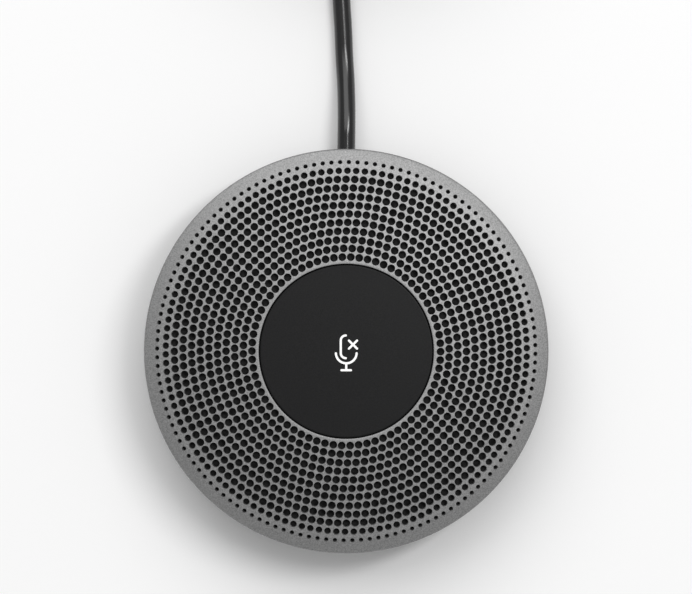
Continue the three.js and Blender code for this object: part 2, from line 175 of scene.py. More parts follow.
def baked(made, name):
    """A plain mesh object with every modifier of another worked into it."""
    depsgraph = bpy.context.evaluated_depsgraph_get()
    mesh = bpy.data.meshes.new_from_object(made.evaluated_get(depsgraph))
    bpy.data.objects.remove(made)
    mesh.name = name
    return new_object(name, mesh)


def combined(name, made, tools, operation):
    """The object under a new name, with tools joined to it (UNION) or cut from it (DIFFERENCE)."""
    for tool in tools:
        step = made.modifiers.new(operation, "BOOLEAN")
        step.operation = operation
        step.solver = "MANIFOLD"
        step.object = tool
    made.name = "blank"
    made = baked(made, name)
    for tool in tools:
        bpy.data.objects.remove(tool)
    return made


def polar(radius, degrees):
    """Point (x, y) at a radius and an angle round the pod."""
    turn = math.radians(degrees)
    return radius * math.cos(turn), radius * math.sin(turn)


def shade(made, sharp_degrees=30):
    """Smooth shading, with edges sharper than an angle kept crisp."""
    made.data.polygons.foreach_set("use_smooth", [True] * len(made.data.polygons))
    made.data.set_sharp_from_angle(angle=math.radians(sharp_degrees))
    return made


def fitted(made, material, body, slot, *replaced):
    """Gives a finished piece its material and body, and hides the CAD nodes it stands for. The slot is not
    used.
    """
    made.data.materials.clear()
    made.data.materials.append(material)
    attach(made, body)
    if replaced:
        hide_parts(*replaced)
    return made


# ---- Materials ----

WAVE_SPACING = 0.314      # metres between the bands of a Wave texture of scale 1


def linear(hex_colour):
    """Linear colour with alpha from an sRGB hex value."""
    channels = (int(hex_colour[i:i + 2], 16) / 255 for i in (1, 3, 5))
    return (*(c / 12.92 if c <= 0.04045 else ((c + 0.055) / 1.055) ** 2.4 for c in channels), 1)


def add_node(tree, kind, inputs=None, **settings):
    """Adds a node with its settings. An input is a value, an output, or a node for its first output."""
    made = tree.nodes.new(kind)
    for key, value in settings.items():
        setattr(made, key, value)
    for key, value in (inputs or {}).items():
        if isinstance(value, bpy.types.Node):
            value = value.outputs[0]
        if isinstance(value, bpy.types.NodeSocket):
            tree.links.new(value, made.inputs[key])
        else:
            made.inputs[key].default_value = value
    return made


def cells(place, size_mm, **others):
    """Inputs of a texture whose cells are size_mm across."""
    return {"Vector": place, "Scale": 1 / (size_mm * MM), **others}


def material(name, roughness, **sockets):
    """A Principled material and its tree, shader and Object coordinates."""
    made = bpy.data.materials.new(name)
    made.use_nodes = True
    tree = made.node_tree
    shader = tree.nodes["Principled BSDF"]
    shader.inputs["Roughness"].default_value = roughness
    for key, value in sockets.items():
        shader.inputs[key.replace("_", " ")].default_value = value
    place = add_node(tree, "ShaderNodeTexCoord").outputs["Object"]
    return made, tree, shader, place


def spread(tree, factor, low, high):
    """Stretches the middle of a noise, where nearly all of it lies, from low to high."""
    return add_node(tree, "ShaderNodeMapRange", {
        "Value": factor, "From Min": 0.3, "From Max": 0.7, "To Min": low, "To Max": high})


def dress(tree, shader, colour, roughness=None, relief=None):
    """Links the colour, roughness and relief of a shader.

    colour is a factor and the two hex values that it mixes, roughness is a noise and the two values that it
    is spread between, and relief is a height and its depth in millimetres.
    """
    factor, low, high = colour
    # a Mix node's colours are its sockets 6 and 7, and its mixed colour is output 2
    mixed = add_node(tree, "ShaderNodeMix", {0: factor, 6: linear(low), 7: linear(high)}, data_type="RGBA")
    tree.links.new(mixed.outputs[2], shader.inputs["Base Color"])
    if roughness:
        tree.links.new(spread(tree, *roughness).outputs[0], shader.inputs["Roughness"])
    if relief:
        height, depth_mm = relief
        bump = add_node(tree, "ShaderNodeBump",
                        {"Height": height, "Distance": depth_mm * MM, "Strength": 1.0})
        tree.links.new(bump.outputs[0], shader.inputs["Normal"])


def metallic_lacquer():
    # Fine metallic grey lacquer baked on steel sheet: soft broad sheen, with a fine sparkle of its flakes.
    # Real flakes are 0.03 mm; they are drawn 0.25 mm across so that they show.
    made, tree, shader, place = material("metallic_lacquer", 0.55, Metallic=0.9)
    flake = add_node(tree, "ShaderNodeTexNoise", cells(place, 0.25, Roughness=0.7))
    cloud = add_node(tree, "ShaderNodeTexNoise", cells(place, 0.5))
    tone = spread(tree, flake, 0.0, 1.0)
    dress(tree, shader, (tone, "#7c7c7c", "#ababab"), (cloud, 0.51, 0.59), (flake, 0.008))
    return made


def soft_touch_coat():
    # Polyurethane soft-touch paint on moulded polycarbonate: near black with a soft low sheen, faint peel.
    made, tree, shader, place = material("soft_touch_coat", 0.45, Specular_IOR_Level=0.2)
    grain = add_node(tree, "ShaderNodeTexNoise", cells(place, 0.25, Detail=3.0))
    cloud = add_node(tree, "ShaderNodeTexNoise", cells(place, 1.2))
    peel = add_node(tree, "ShaderNodeTexNoise", cells(place, 0.22))
    tone = spread(tree, grain, 0.0, 1.0)
    dress(tree, shader, (tone, "#0a0a0b", "#161617"), (cloud, 0.43, 0.47), (peel, 0.004))
    return made


def lit_pictogram():
    # Milky polycarbonate of the light guide showing through the coat; its light from below is a painted
    # glow, a faint white emission.
    made, tree, shader, place = material("lit_pictogram", 0.4, Emission_Strength=0.12)
    shader.inputs["Emission Color"].default_value = linear("#ffffff")
    dress(tree, shader, (add_node(tree, "ShaderNodeTexNoise", cells(place, 0.4)), "#f2f2f0", "#ffffff"))
    return made


def acoustic_weave():
    # Black polyester monofilament cloth: dull, with almost no light back.
    # Its threads are drawn 1.57 mm apart, where real ones are 0.25 mm, so that they show through the holes.
    made, tree, shader, place = material("acoustic_weave", 0.9, Specular_IOR_Level=0.2)
    spacing = {"Vector": place, "Scale": WAVE_SPACING / (1.57 * MM)}
    across = add_node(tree, "ShaderNodeTexWave", spacing, bands_direction="X").outputs["Color"]
    along = add_node(tree, "ShaderNodeTexWave", spacing, bands_direction="Y").outputs["Color"]
    threads = add_node(tree, "ShaderNodeMath", {0: across, 1: along}, operation="MAXIMUM")
    dress(tree, shader, (threads, "#121212", "#262626"), relief=(threads, 0.05))
    return made


def spark_textured_abs():
    # Injection-moulded black ABS from a spark-eroded tool: an even fine grain that breaks up the gloss.
    made, tree, shader, place = material("spark_textured_abs", 0.5)
    grain = add_node(tree, "ShaderNodeTexNoise", cells(place, 0.18, Roughness=0.6))
    cloud = add_node(tree, "ShaderNodeTexNoise", cells(place, 3.0))
    dress(tree, shader, (grain, "#161617", "#1e1e1f"), (cloud, 0.46, 0.56), (grain, 0.012))
    return made


def silicone_rubber():
    # Compression-moulded silicone rubber: deep matte black with a dusty bloom.
    made, tree, shader, place = material("silicone_rubber", 0.85)
    bloom = add_node(tree, "ShaderNodeTexNoise", cells(place, 2.0, Detail=4.0))
    grain = add_node(tree, "ShaderNodeTexNoise", cells(place, 0.15))
    dress(tree, shader, (spread(tree, bloom, 0.0, 1.0), "#262627", "#303031"), relief=(grain, 0.01))
    return made


def satin_pvc():
    # Extruded PVC jacket: satin black with a narrow highlight and faint draw marks.
    made, tree, shader, place = material("satin_pvc", 0.2, Specular_IOR_Level=0.6)
    wander = add_node(tree, "ShaderNodeTexNoise", cells(place, 6.0, Detail=3.0))
    marks = add_node(tree, "ShaderNodeTexNoise", cells(place, 0.35))
    tone = spread(tree, wander, 0.0, 1.0)
    dress(tree, shader, (tone, "#0b0b0c", "#101011"), (wander, 0.18, 0.22), (marks, 0.006))
    return made


def plated_steel(name, low, high, roughness):
    # Plated steel: bright, slightly cloudy from the plating bath.
    made, tree, shader, place = material(name, roughness, Metallic=1.0)
    cloud = add_node(tree, "ShaderNodeTexNoise", cells(place, 1.5, Detail=4.0))
    dress(tree, shader, (cloud, low, high), (cloud, roughness - 0.06, roughness + 0.08))
    return made


def hook_tape():
    # Woven nylon hook-and-loop tape: rows of tiny hooks along it, with a fuzzy sheen over a dull weave.
    # The hooks' rows are drawn 0.8 mm apart, about twice their real spacing, so that they show.
    made, tree, shader, place = material("hook_tape", 0.95, Sheen_Weight=0.35, Sheen_Roughness=0.5)
    rows = add_node(tree, "ShaderNodeTexWave", {
        "Vector": place, "Scale": WAVE_SPACING / (0.8 * MM), "Distortion": 1.5, "Detail": 2.0},
        bands_direction="Y").outputs["Color"]
    fuzz = add_node(tree, "ShaderNodeTexNoise", cells(place, 0.2, Detail=3.0, Roughness=0.7))
    pile = add_node(tree, "ShaderNodeMath", {0: rows, 1: fuzz}, operation="MULTIPLY")
    dress(tree, shader, (spread(tree, pile, 0.0, 1.0), "#101011", "#303032"), relief=(pile, 0.1))
    return made


def glass_epoxy_board():
    # Solder-masked glass-epoxy board: glossy green with copper pours showing as paler patches.
    made, tree, shader, place = material("glass_epoxy_board", 0.3)
    pours = add_node(tree, "ShaderNodeTexVoronoi", cells(place, 5.0), distance="CHEBYCHEV")
    pours = pours.outputs["Distance"]
    dress(tree, shader, (pours, "#123d28", "#1f5a3c"), relief=(pours, 0.03))
    return made


def smooth_plastic(name, low, high, roughness):
    # Moulded technical plastic with a faint flow pattern.
    made, tree, shader, place = material(name, roughness)
    flow = add_node(tree, "ShaderNodeTexNoise", cells(place, 1.2, Detail=3.0))
    dress(tree, shader, (flow, low, high))
    return made


MATERIALS = {
    "lacquer": metallic_lacquer(),
    "soft_touch": soft_touch_coat(),
    "pictogram": lit_pictogram(),
    "cloth": acoustic_weave(),
    "abs": spark_textured_abs(),
    "rubber": silicone_rubber(),
    "pvc": satin_pvc(),
    "zinc": plated_steel("zinc_plated_steel", "#a9abad", "#c6c8c9", 0.32),
    "nickel": plated_steel("nickel_plated_steel", "#b3b0aa", "#cfccc6", 0.22),
    "gold": plated_steel("gold_flashed_contact", "#c79a3e", "#e0bb62", 0.25),
    "tape": hook_tape(),
    "board": glass_epoxy_board(),
    "epoxy": smooth_plastic("moulded_epoxy", "#151517", "#1d1d1f", 0.5),
    "acrylic": smooth_plastic("frosted_acrylic", "#dfe3e2", "#f0f2f1", 0.35),
    "nylon": smooth_plastic("natural_nylon", "#d8d2bf", "#e6e1d0", 0.5),
}


# ---- Camera, floor and light ----

def make_camera():
    """Looks straight down through a long lens at a point behind the middle of the pod."""
    height = 1400.0
    view_width = 141.94       # at the height of the rim
    rim_height = 16.5
    view_centre_x, view_centre_y = -0.05, 11.11
    camera_data = bpy.data.cameras.new("camera")
    sensor_width = 36
    camera_data.sensor_width = sensor_width
    camera_data.lens = sensor_width * (height - rim_height) / view_width
    camera_data.clip_start = 0.05
    camera_data.clip_end = 20
    camera = new_object("camera", camera_data)
    camera.location = (view_centre_x * MM, view_centre_y * MM, height * MM)
    bpy.context.scene.camera = camera


def area_light(name, place, target, size, power):
    data = bpy.data.lights.new(name, "AREA")
    data.shape = "RECTANGLE"
    data.size, data.size_y = size
    data.energy = power
    light = new_object(name, data)
    light.location = place
    light.rotation_euler = (Vector(target) - Vector(place)).to_track_quat("-Z", "Y").to_euler()
    light.visible_camera = False
    return light


def make_studio():
    bm = bmesh.new()
    bmesh.ops.create_grid(bm, x_segments=1, y_segments=1, size=8)
    floor = object_from("floor", bm)
    table_top, _, shader, _ = material("white_table", 0.9, Specular_IOR_Level=0.1)
    shader.inputs["Base Color"].default_value = linear("#fafafa")
    floor.data.materials.append(table_top)
    world = bpy.data.worlds.new("studio")
    world.use_nodes = True
    tree = world.node_tree
    # the room gives a soft grey light, and looks as pale as the table behind the object
    straight = add_node(tree, "ShaderNodeLightPath").outputs["Is Camera Ray"]
    strength = add_node(tree, "ShaderNodeMapRange", {"Value": straight, "To Min": 0.47, "To Max": 0.92})
    tree.links.new(strength.outputs[0], tree.nodes["Background"].inputs["Strength"])
    tree.nodes["Background"].inputs["Color"].default_value = linear("#ffffff")
    bpy.context.scene.world = world
    bpy.context.scene.view_settings.view_transform = "Standard"
    aim = (0, 0.03, 0)
    area_light("rear_softbox", (-0.12, 1.0, 1.25), aim, (1.5, 1.5), 13.5)
    area_light("right_lamp", (0.60, 0.38, 1.44), aim, (0.2, 0.7), 6.5)


# ---- The lead ----

# Where the lead isn't coiled, from the grommet to the coil's outermost turn.
LEAD_IN = [
    LEAD_EXIT, (0.02, 43.5, 5.15), (0.05, 46.0, 5.05), (0.05, 51.0, 4.1), (-0.1, 56.0, 2.7),
    (-0.4, 61.0, 2.0), (-0.6, 66.0, 1.9), (-0.9, 71.0, 1.9), (-1.3, 76.0, 1.9), (-2.6, 81.0, 1.9),
    (-4.8, 85.3, 1.9), (-6.1, 87.2, 1.9), (-8.9, 90.7, 1.9), (-12.3, 93.6, 1.9),
]

# From the coil's top layer round its far side and down to the plug.
LEAD_TAIL = [
    (-1.3, 168.4, 20.4), (4.6, 169.4, 20.4), (10.6, 170.3, 20.4), (15.6, 170.9, 20.2), (21.5, 170.6, 19.3),
    (27.5, 168.8, 17.4), (33.2, 165.6, 15.1), (38.2, 161.3, 12.6), (42.3, 156.1, 10.2), (45.4, 150.2, 8.1),
    (47.2, 144.8, 6.5), (48.0, 139.5, 5.8),
]


def coil_points():
    """Turns wound clockwise: each layer a spiral inwards or outwards, six layers on each other."""
    pitch = 2 * LEAD_RADIUS
    layers = 6
    outer = COIL_HIGH.x - LEAD_RADIUS
    centre_y = (COIL_LOW.y + COIL_HIGH.y) / 2
    start, end = 244.5, 100.0                 # angles in degrees at which the winding starts and ends
    turns = 33 + (start - end) / 360
    climb = 1 / 6                             # part of a turn in which the lead rises to the next layer
    layer_turns = (turns - (layers - 1) * climb) / layers
    strap_angle = 180.0
    strap_lift, strap_reach = 0.95, 11.0      # the turns ride up over the strap under them
    waver, waver_rate = 0.10, 5.1             # the turns don't lie perfectly round
    lie = LEAD_RADIUS + 0.05
    points = []
    steps = round(turns * 16)
    for i in range(steps + 1):
        turn = turns * i / steps
        layer = min(int(turn / (layer_turns + climb)), layers - 1)
        within = turn - layer * (layer_turns + climb)
        inward = min(within / layer_turns, 1) if layer % 2 == 0 else 1 - min(within / layer_turns, 1)
        rise = max(within - layer_turns, 0) / climb
        rise = rise * rise * (3 - 2 * rise)
        radius = outer - inward * layer_turns * pitch
        degrees = start - turn * 360
        radius += waver * math.sin(turn * waver_rate) * math.sin(math.radians(degrees) * 2)
        from_strap = radius * math.radians((degrees - strap_angle + 180) % 360 - 180)
        lift = strap_lift * math.exp(-(from_strap / strap_reach) ** 2)
        x, y = polar(radius, degrees)
        points.append((x, centre_y + y, lie + (layer + rise) * pitch + lift))
    return points


def make_lead():
    route = LEAD_IN + coil_points() + LEAD_TAIL
    data = bpy.data.curves.new("lead", "CURVE")
    data.dimensions = "3D"
    data.resolution_u = 4
    data.bevel_depth = LEAD_RADIUS * MM
    data.bevel_resolution = 8
    data.use_fill_caps = True
    spline = data.splines.new("BEZIER")
    spline.bezier_points.add(len(route) - 1)
    for point, place in zip(spline.bezier_points, route):
        point.co = Vector(place) * MM
        point.handle_left_type = point.handle_right_type = "AUTO"
    lead = new_object("lead", data)
    return fitted(lead, MATERIALS["pvc"], "pod", "lead_pvc", "lead_in", "lead_coil", "lead_tail")


# ---- Grille, cloth ----

FADE_POWER = 1.56         # how slowly the holes of the outer rings begin to fade
DROP_HEIGHT = 0.1         # metres above the origin from which the holes' centres drop onto the sheet


def dome_height(radius):
    def fall(at):
        return math.sqrt(DOME_RADIUS ** 2 - (at - DOME_CENTRE) ** 2)
    return POD_TOP + fall(radius) - fall(OPENING_RADIUS)


def shell_outline():
    """Half section of the grille's pressed sheet: over the top, down the side and back inside to the lip."""
    inner = POD_RADIUS - SHEET
    dome_start, dome_steps = 18.5, 14
    dome = [dome_start + (SHOULDER_START - dome_start) * i / dome_steps for i in range(dome_steps + 1)]
    start = dome_height(SHOULDER_START)
    # radius, and how far the surface has fallen since the shoulder's start
    shoulder = [(38.6, 0.14), (39.1, 0.30), (39.6, 0.487), (40.3, 0.76), (41.0, 1.045), (41.2, 1.127)]
    corner = [(41.33, 1.20), (41.43, 1.30), (41.48, 1.42), (POD_RADIUS, 1.58)]
    top = [(r, dome_height(r)) for r in dome] + [(r, start - drop) for r, drop in shoulder + corner]
    edge = 0.15
    side = [(POD_RADIUS, SIDE_BOTTOM + edge), (POD_RADIUS - edge, SIDE_BOTTOM), (inner, SIDE_BOTTOM)]
    inside = [(inner, 15.8), (inner - 0.3, 16.15)]
    inside += [(39.9, start - 0.60 - SHEET), (39.2, start - 0.33 - SHEET)]
    inside += [(r, dome_height(r) - SHEET) for r in reversed(dome[1:])]
    lip_bottom, lip_edge, rounding = 20.1, 0.1, 0.12
    lip = [(18.8, lip_bottom), (OPENING_RADIUS + lip_edge, lip_bottom)]
    lip += [(OPENING_RADIUS, lip_bottom + lip_edge)]
    lip += arc((OPENING_RADIUS + rounding, POD_TOP - rounding), rounding, 180, 90, 4)
    return top + side + inside + lip


def punch():
    """Cutter for a hole of radius 1 mm in a sheet whose face is at height 0, with a broken edge."""
    depth, above = 2.5, 1.0
    edge, widened = 0.05, 1.09
    outline = [(0, -depth), (1, -depth), (1, -edge), (widened, edge), (widened, above), (0, above)]
    return turned("punch", outline, 14)


def perforation_tree(cutter):
    """Punches rings of holes through the geometry that comes in, each square to the surface it meets."""
    tree = bpy.data.node_groups.new("perforated_sheet", "GeometryNodeTree")
    face = tree.interface
    face.new_socket("Geometry", in_out="INPUT", socket_type="NodeSocketGeometry")
    sizes = {
        "First Ring Radius": 19.30 * MM, "Ring Pitch": 1.7705 * MM, "First Ring Holes": 70.0,
        "More Holes Each Ring": 6.0, "Rings": 12.0, "Hole Radius": 0.80, "Fading Rings": 2.0,
        "Last Hole Share": 0.56, "Start Angle": math.radians(20.38),
    }
    for name in sizes:
        face.new_socket(name, in_out="INPUT", socket_type="NodeSocketFloat")
    face.new_socket("Finish", in_out="INPUT", socket_type="NodeSocketMaterial")
    face.new_socket("Geometry", in_out="OUTPUT", socket_type="NodeSocketGeometry")
    given = add_node(tree, "NodeGroupInput").outputs

    begin = tree.nodes.new("GeometryNodeRepeatInput")
    end = tree.nodes.new("GeometryNodeRepeatOutput")
    begin.pair_with_output(end)
    tree.links.new(given["Rings"], begin.inputs["Iterations"])
    ring = begin.outputs["Iteration"]
    radius = add_node(tree, "ShaderNodeMath", {
        0: ring, 1: given["Ring Pitch"], 2: given["First Ring Radius"]}, operation="MULTIPLY_ADD")
    count = add_node(tree, "ShaderNodeMath", {
        0: ring, 1: given["More Holes Each Ring"], 2: given["First Ring Holes"]}, operation="MULTIPLY_ADD")
    circle = add_node(tree, "GeometryNodeMeshCircle", {"Vertices": count, "Radius": radius})

    # the holes of the outermost rings fade to the last ring's share of the full radius
    fading = add_node(tree, "ShaderNodeMath", {0: given["Fading Rings"], 1: 1.0}, operation="ADD")
    full = add_node(tree, "ShaderNodeMath", {0: given["Rings"], 1: fading}, operation="SUBTRACT")
    past = add_node(tree, "ShaderNodeMath", {0: ring, 1: full}, operation="SUBTRACT")
    past = add_node(tree, "ShaderNodeMath", {0: past, 1: 0.0}, operation="MAXIMUM")
    fade = add_node(tree, "ShaderNodeMath", {0: past, 1: given["Fading Rings"]}, operation="DIVIDE")
    fade = add_node(tree, "ShaderNodeMath", {0: fade, 1: FADE_POWER}, operation="POWER")
    lost = add_node(tree, "ShaderNodeMath", {0: 1.0, 1: given["Last Hole Share"]}, operation="SUBTRACT")
    lost = add_node(tree, "ShaderNodeMath", {0: fade, 1: lost}, operation="MULTIPLY")
    share = add_node(tree, "ShaderNodeMath", {0: 1.0, 1: lost}, operation="SUBTRACT")
    size = add_node(tree, "ShaderNodeMath", {0: given["Hole Radius"], 1: share}, operation="MULTIPLY")
    stored = add_node(tree, "GeometryNodeStoreNamedAttribute",
                      {"Geometry": circle, "Name": "hole_radius", "Value": size})
    gathered = add_node(tree, "GeometryNodeJoinGeometry", {0: begin.outputs["Geometry"]})
    tree.links.new(stored.outputs[0], gathered.inputs[0])
    tree.links.new(gathered.outputs[0], end.inputs["Geometry"])

    turn = add_node(tree, "ShaderNodeCombineXYZ", {"Z": given["Start Angle"]})
    points = add_node(tree, "GeometryNodeTransform", {"Geometry": end.outputs["Geometry"], "Rotation": turn})
    here = add_node(tree, "GeometryNodeInputPosition")
    above = add_node(tree, "ShaderNodeVectorMath", {0: here, 1: (0, 0, DROP_HEIGHT)}, operation="ADD")
    hit = add_node(tree, "GeometryNodeRaycast", {
        "Target Geometry": given["Geometry"], "Source Position": above, "Ray Direction": (0, 0, -1),
        "Ray Length": 2 * DROP_HEIGHT})
    upright = add_node(tree, "FunctionNodeAlignRotationToVector",
                       {"Vector": hit.outputs["Hit Normal"]}, axis="Z")
    kept = add_node(tree, "GeometryNodeStoreNamedAttribute",
                    {"Geometry": points, "Name": "hole_turn", "Value": upright}, data_type="QUATERNION")
    landed = add_node(tree, "GeometryNodeSetPosition",
                      {"Geometry": kept, "Position": hit.outputs["Hit Position"]})
    tool = add_node(tree, "GeometryNodeObjectInfo", {"Object": cutter})
    wide = add_node(tree, "GeometryNodeInputNamedAttribute", {"Name": "hole_radius"}, data_type="FLOAT")
    lean = add_node(tree, "GeometryNodeInputNamedAttribute", {"Name": "hole_turn"}, data_type="QUATERNION")
    across = add_node(tree, "ShaderNodeCombineXYZ", {"X": wide, "Y": wide, "Z": 1.0})
    punches = add_node(tree, "GeometryNodeInstanceOnPoints", {
        "Points": landed, "Instance": tool.outputs["Geometry"], "Rotation": lean, "Scale": across})
    real = add_node(tree, "GeometryNodeRealizeInstances", {"Geometry": punches})
    punched = add_node(tree, "GeometryNodeMeshBoolean", {"Mesh 1": given["Geometry"], "Mesh 2": real},
                       operation="DIFFERENCE", solver="MANIFOLD")
    whole = add_node(tree, "GeometryNodeRealizeInstances", {"Geometry": punched})
    coated = add_node(tree, "GeometryNodeSetMaterial", {"Geometry": whole, "Material": given["Finish"]})
    add_node(tree, "NodeGroupOutput", {"Geometry": coated})
    return tree, sizes


def give_tree(made, tree, values):
    """Adds a Geometry Nodes modifier and sets its named inputs by their identifiers."""
    step = made.modifiers.new(tree.name, "NODES")
    step.node_group = tree
    for item in tree.interface.items_tree:
        if item.item_type == "SOCKET" and item.in_out == "INPUT" and item.name in values:
            step[item.identifier] = values[item.name]


def make_grille():
    blank = turned("grille_blank", shell_outline())
    cutter = punch()
    tree, sizes = perforation_tree(cutter)
    give_tree(blank, tree, sizes | {"Finish": MATERIALS["lacquer"]})
    grille = baked(blank, "perforated_grille")
    bpy.data.objects.remove(cutter)
    shade(grille, 32)
    return fitted(grille, MATERIALS["lacquer"], "pod", "grille_metal", "grille_shell")


def make_cloth():
    """Stretched cloth ring behind the holes."""
    inner, outer = 18.2, box_mm("acoustic_cloth")[1].x
    steps = 12
    rings = [inner + (outer - inner) * i / steps for i in range(steps + 1)]
    under = SHEET + 0.35
    thickness = 0.3
    outline = [(r, dome_height(r) - under) for r in rings]
    outline += [(r, dome_height(r) - under - thickness) for r in reversed(rings)]
    cloth = shade(turned("acoustic_cloth_ring", outline))
    fitted(cloth, MATERIALS["cloth"], "pod", "acoustic_cloth", "acoustic_cloth")
    return cloth


# ---- Button ----

def make_button():
    """Crowned cap with a flange that holds it in, a hollow under its top and a stem down to the switch."""
    top = CAP_HIGH.z
    radius = OPENING_RADIUS - 0.15
    flange, flange_top, flange_bottom = CAP_HIGH.x, 17.8, 17.0
    wall, roof, stem = radius - 1.3, top - 1.6, 2.5
    crown_end, crown_fall = 17.3, 0.30
    crown = [(r, top - crown_fall * (r / crown_end) ** 2) for r in (0, 2, 4, 7, 10, 13, 15.5, crown_end)]
    rounding = 0.25
    edge = arc((radius - rounding, top - crown_fall - rounding), rounding, 80, 0, 6)
    outline = crown + edge + [
        (radius, flange_top), (flange, flange_top), (flange, flange_bottom), (wall, flange_bottom),
        (wall, roof), (stem, roof), (stem, CAP_LOW.z), (0, CAP_LOW.z)]
    cap = shade(turned("mute_button_cap", outline), 40)
    return fitted(cap, MATERIALS["soft_touch"], "button", "soft_touch", "button_cap")


def stroke(name, path, width, bottom, top):
    """Flat bar of constant width with round ends along a path of (x, y) points."""
    bm = bmesh.new()
    half = width / 2
    points = [Vector((*p, 0)) for p in path]
    left, right = [], []
    for i, point in enumerate(points):
        before, after = points[max(i - 1, 0)], points[min(i + 1, len(points) - 1)]
        along = (after - before).normalized()
        side = Vector((-along.y, along.x, 0)) * half
        left.append(point + side)
        right.append(point - side)
    first, last = (points[1] - points[0]).normalized(), (points[-1] - points[-2]).normalized()

    def cap(centre, outward):
        base = math.degrees(math.atan2(outward.y, outward.x))
        return [Vector((x, y, 0)) for x, y in arc(centre, half, base + 90, base - 90, 10)[1:-1]]

    outline = left + cap(points[-1], last) + right[::-1] + cap(points[0], -first)
    ring = [bm.verts.new((p.x * MM, p.y * MM, bottom * MM)) for p in outline]
    face = bm.faces.new(ring)
    lifted = bmesh.ops.extrude_face_region(bm, geom=[face])["geom"]
    for vert in (v for v in lifted if isinstance(v, bmesh.types.BMVert)):
        vert.co.z = top * MM
    return object_from(name, bm)


def make_pictogram():
    """Generic muted-microphone sign: half a capsule, a cross, a cradle, a stem and a foot."""
    width = 0.44
    levels = (CAP_HIGH.z - 0.05, CAP_HIGH.z + 0.015)
    left, upper, lower, bend = -0.09, 2.22, -0.37, 1.03
    capsule = [(left, upper + bend)] + arc((left, upper), bend, 95, 180, 8)
    capsule += arc((left, lower), bend, 180, 265, 8) + [(left, lower - bend)]
    cradle = arc((0.0, -0.33), 2.12, 182, 358, 24)
    foot = -3.86
    bars = [
        ("capsule", capsule),
        ("cross_a", [(0.55, 2.20), (2.21, 0.56)]),
        ("cross_b", [(2.21, 2.20), (0.55, 0.56)]),
        ("cradle", cradle),
        ("stem", [(0, -2.44), (0, foot)]),
        ("foot", [(-0.98, foot), (0.96, foot)]),
    ]
    strokes = [stroke(name, path, width, *levels) for name, path in bars]
    sign = shade(combined("mute_pictogram", strokes[0], strokes[1:], "UNION"), 40)
    return fitted(sign, MATERIALS["pictogram"], "button", "clear_acrylic")


# ---- Base ----

def base_outline():
    """Half section of the housing: underside, flared side, the lip inside the grille, and the inside."""
    floor, floor_radius = BASE_LOW.z, 35.5
    reach = BASE_HIGH.x - floor_radius
    flare_steps = 14
    flare = []
    for i in range(1, flare_steps + 1):
        turn = math.radians(90 * i / flare_steps)
        flare.append((floor_radius + reach * math.sin(turn), LEDGE - (LEDGE - floor) * math.cos(turn)))
    lip, lip_top, lip_edge = POD_RADIUS - SHEET - 0.3, BASE_HIGH.z, 0.15
    inner, outer, groove, edge = 23.7, 29.8, floor + 1.0, 0.1    # the groove that the foot ring sits in
    label, label_depth = 21.0, 0.25                              # a shallow round recess for a label
    return [
        (0, floor + label_depth), (label, floor + label_depth), (label + label_depth, floor),
        (inner - edge, floor), (inner, floor + edge), (inner, groove),
        (outer, groove), (outer, floor + edge), (outer + edge, floor), (floor_radius, floor), *flare,
        (lip, LEDGE), (lip, lip_top - lip_edge), (lip - lip_edge, lip_top), (39, lip_top),
        (39, 6.2), (38, 4.4), (36.4, 3.3), (34.8, FLOOR_TOP), (0, FLOOR_TOP)]


def make_base():
    bottom = FLOOR_TOP - OVERLAP
    base = turned("base", base_outline())
    bosses = [rod("boss", polar(BOSS_CIRCLE, a), 3.2, bottom, 9.3, 32) for a in CORNERS]
    posts = [rod("post", polar(POST_CIRCLE, a), 2.7, bottom, 7.7, 28) for a in THIRDS]
    base = combined("base", base, bosses + posts, "UNION")
    recesses = [rod("recess", polar(BOSS_CIRCLE, a), 2.6, 0, 3.4, 32) for a in CORNERS]
    bores = [rod("bore", polar(BOSS_CIRCLE, a), 1.45, 3, 10, 16) for a in CORNERS]
    pilots = [rod("pilot", polar(POST_CIRCLE, a), 1.25, 4.2, 9, 16) for a in THIRDS]
    # the grommet's neck passes through the slot, and its flange lies in the seat
    slot = block("slot", (-2.6, 37, 2.8), (2.6, 42, 10.8), 0.4)
    seat = block("seat", (-3.5, 39.9, 2.4), (3.5, 44.5, LEDGE + 0.01))
    base = combined("base_housing_moulding", base, [*recesses, *bores, *pilots, slot, seat], "DIFFERENCE")
    return fitted(shade(base, 32), MATERIALS["abs"], "pod", "housing_abs", "base_housing")


def make_foot():
    """Rubber ring with round edges and three grooves in the face that meets the table."""
    inner, outer, top, rounding = 24.0, 29.5, FOOT_HIGH.z, 0.5
    outline = arc((outer - rounding, rounding), rounding, -90, 0, 5) + [(outer, top), (inner, top)]
    outline += arc((inner + rounding, rounding), rounding, 180, 270, 5)
    mouth, bottom, depth = 0.3, 0.2, 0.3
    for middle in (25.5, 26.75, 28.0):
        outline += [(middle - mouth, 0), (middle - bottom, depth)]
        outline += [(middle + bottom, depth), (middle + mouth, 0)]
    foot = shade(turned("rubber_foot_ring", outline), 40)
    return fitted(foot, MATERIALS["rubber"], "pod", "foot_rubber", "foot_ring")


def screw_shape(name, head, head_height, shank, length):
    """Pan-head screw standing on its head at the origin, with a cross recess in the head."""
    core = shank * 0.82
    outline = [(0, 0), (head * 0.55, 0.03), (head * 0.85, 0.18), (head * 0.97, 0.5), (head, 0.8)]
    outline += [(head, head_height), (core, head_height)]
    pitch, plain, tip = 0.45, 0.3, 1.2
    turns = int((length - head_height - tip) / pitch)
    for i in range(turns):
        at = head_height + plain + i * pitch
        outline += [(core, at), (shank, at + pitch / 2)]
    outline += [(shank * 0.8, length - shank), (0, length)]
    screw = turned(name, outline, 28)
    reach, half_width, depth = 1.25, 0.28, 0.85
    arms = [block("arm", (-x, -y, -1), (x, y, depth)) for x, y in ((reach, half_width), (half_width, reach))]
    return combined(name, screw, arms, "DIFFERENCE")


